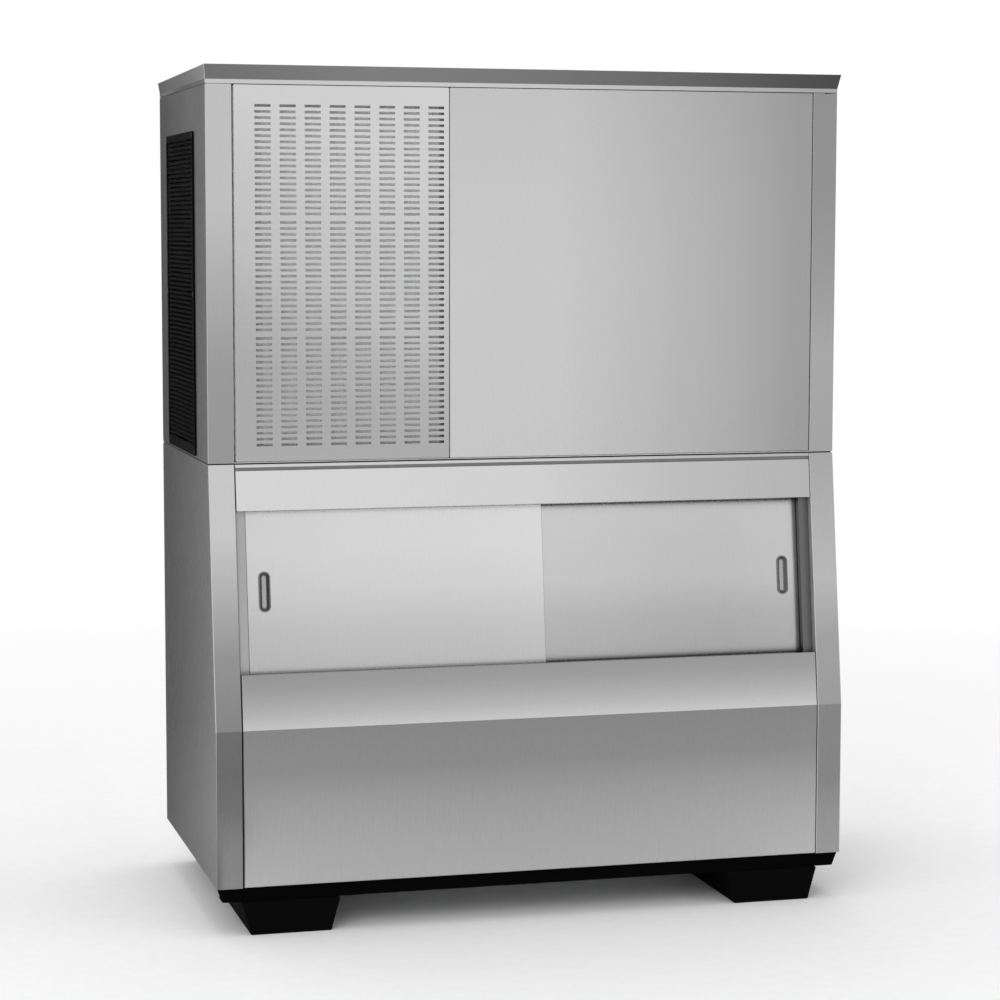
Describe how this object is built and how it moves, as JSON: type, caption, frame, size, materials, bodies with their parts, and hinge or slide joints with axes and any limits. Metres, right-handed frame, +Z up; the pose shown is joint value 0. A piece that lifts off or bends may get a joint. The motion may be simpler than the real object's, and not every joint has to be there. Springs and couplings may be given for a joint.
{
  "type": "cube ice machine",
  "caption": "Cube ice machine: a stainless refrigeration head with a slotted vent panel and side grille, on an insulated slope-front bin with sliding doors, on black runners.",
  "frame": {"origin": "on the floor, under the middle of the cabinet's footprint", "axes": "+X to the right seen from the front, +Y towards the back, +Z up"},
  "size_m": [1.257, 0.65, 1.6275],
  "materials": {
    "stainless": "brushed, vertical grain",
    "cover_steel": "brushed",
    "jamb_steel": "brushed",
    "galvanised": "zinc-coated sheet",
    "black_paint": "satin",
    "skid_plastic": "satin",
    "zinc_fastener": "zinc-plated",
    "black_plastic": "satin",
    "filter_mesh": "woven wire",
    "black_screw": "satin",
    "pull_chrome": "satin",
    "track_aluminium": "satin",
    "liner_white": "moulded",
    "insulation_foam": "foam",
    "gasket_rubber": "matt",
    "coil_aluminium": "finned",
    "motor_grey": "satin",
    "copper": "bright",
    "evaporator_nickel": "nickel-plated",
    "water_plastic": "moulded",
    "curtain_plastic": "translucent white",
    "hose_grey": "smooth"
  },
  "bodies": {
    "cabinet": {"base_frame": "black_paint", "skids": "skid_plastic", "skid_bolts": "zinc_fastener", "bin_side_left": "stainless", "bin_side_right": "stainless", "bin_back_panel": "galvanised", "bin_base_pan": "galvanised", "bin_front_panel": "stainless", "bin_fascia": "stainless", "bin_top_rail": "stainless", "bin_liner": "liner_white", "bin_insulation": "insulation_foam", "bin_drain": "black_plastic", "door_jambs": "jamb_steel", "door_track_low": "track_aluminium", "door_track_high": "track_aluminium", "seam_gaskets": "gasket_rubber", "head_base": "galvanised", "head_frame": "galvanised", "head_side_left": "stainless", "head_side_right": "stainless", "head_rear_panel": "galvanised", "vent_panel": "stainless", "front_panel": "stainless", "top_cover": "cover_steel", "side_grille": "black_plastic", "grille_screws": "black_screw", "air_filter": "filter_mesh", "divider_wall": "galvanised", "condenser": "coil_aluminium", "fan_shroud": "black_paint", "fan_motor": "motor_grey", "compressor": "black_paint", "compressor_mounts": "gasket_rubber", "filter_drier": "copper", "hot_gas_valve": "copper", "refrigerant_pipes": "copper", "control_box": "galvanised", "control_box_cover": "galvanised", "evaporator_bulkhead": "water_plastic", "evaporators": "evaporator_nickel", "water_distributor": "water_plastic", "water_trough": "water_plastic", "pump": "motor_grey", "float_valve": "water_plastic", "water_valve": "water_plastic", "water_hoses": "hose_grey", "cable_gland": "black_plastic"},
    "left_door": {"door_left": "stainless", "door_left_core": "liner_white", "door_left_pull": "pull_chrome"},
    "right_door": {"door_right": "stainless", "door_right_core": "liner_white", "door_right_pull": "pull_chrome"},
    "fan": {"fan_blade": "black_plastic"},
    "impeller": {"pump_impeller": "black_plastic"},
    "left_curtain": {"curtain_left": "curtain_plastic"},
    "right_curtain": {"curtain_right": "curtain_plastic"},
    "float": {"float_arm": "black_plastic"},
    "rocker": {"power_switch": "black_plastic"}
  },
  "joints": [
    {"name": "left_door_slide", "type": "slide", "parent": "cabinet", "child": "left_door", "axis": [1, 0, 0], "range_m": [0, 0.529]},
    {"name": "right_door_slide", "type": "slide", "parent": "cabinet", "child": "right_door", "axis": [-1, 0, 0], "range_m": [0, 0.529]},
    {"name": "fan_spin", "type": "hinge", "parent": "cabinet", "child": "fan", "pos_m": [-0.3845, -0.1267, 1.2495], "axis": [0, 1, 0], "continuous": true},
    {"name": "impeller_spin", "type": "hinge", "parent": "cabinet", "child": "impeller", "pos_m": [-0.08, 0.0105, 1], "axis": [0, 0, 1], "continuous": true},
    {"name": "left_curtain_hinge", "type": "hinge", "parent": "cabinet", "child": "left_curtain", "pos_m": [0.116, -0.016, 1.545], "axis": [-1, 0, 0], "range_deg": [0, 20]},
    {"name": "right_curtain_hinge", "type": "hinge", "parent": "cabinet", "child": "right_curtain", "pos_m": [0.424, -0.016, 1.545], "axis": [-1, 0, 0], "range_deg": [0, 20]},
    {"name": "float_hinge", "type": "hinge", "parent": "cabinet", "child": "float", "pos_m": [-0.01, 0.03, 1.09], "axis": [0, -1, 0], "range_deg": [0, 12]},
    {"name": "rocker_hinge", "type": "hinge", "parent": "cabinet", "child": "rocker", "pos_m": [-0.2995, 0.069, 1.4905], "axis": [-1, 0, 0], "range_deg": [0, 20]}
  ]
}
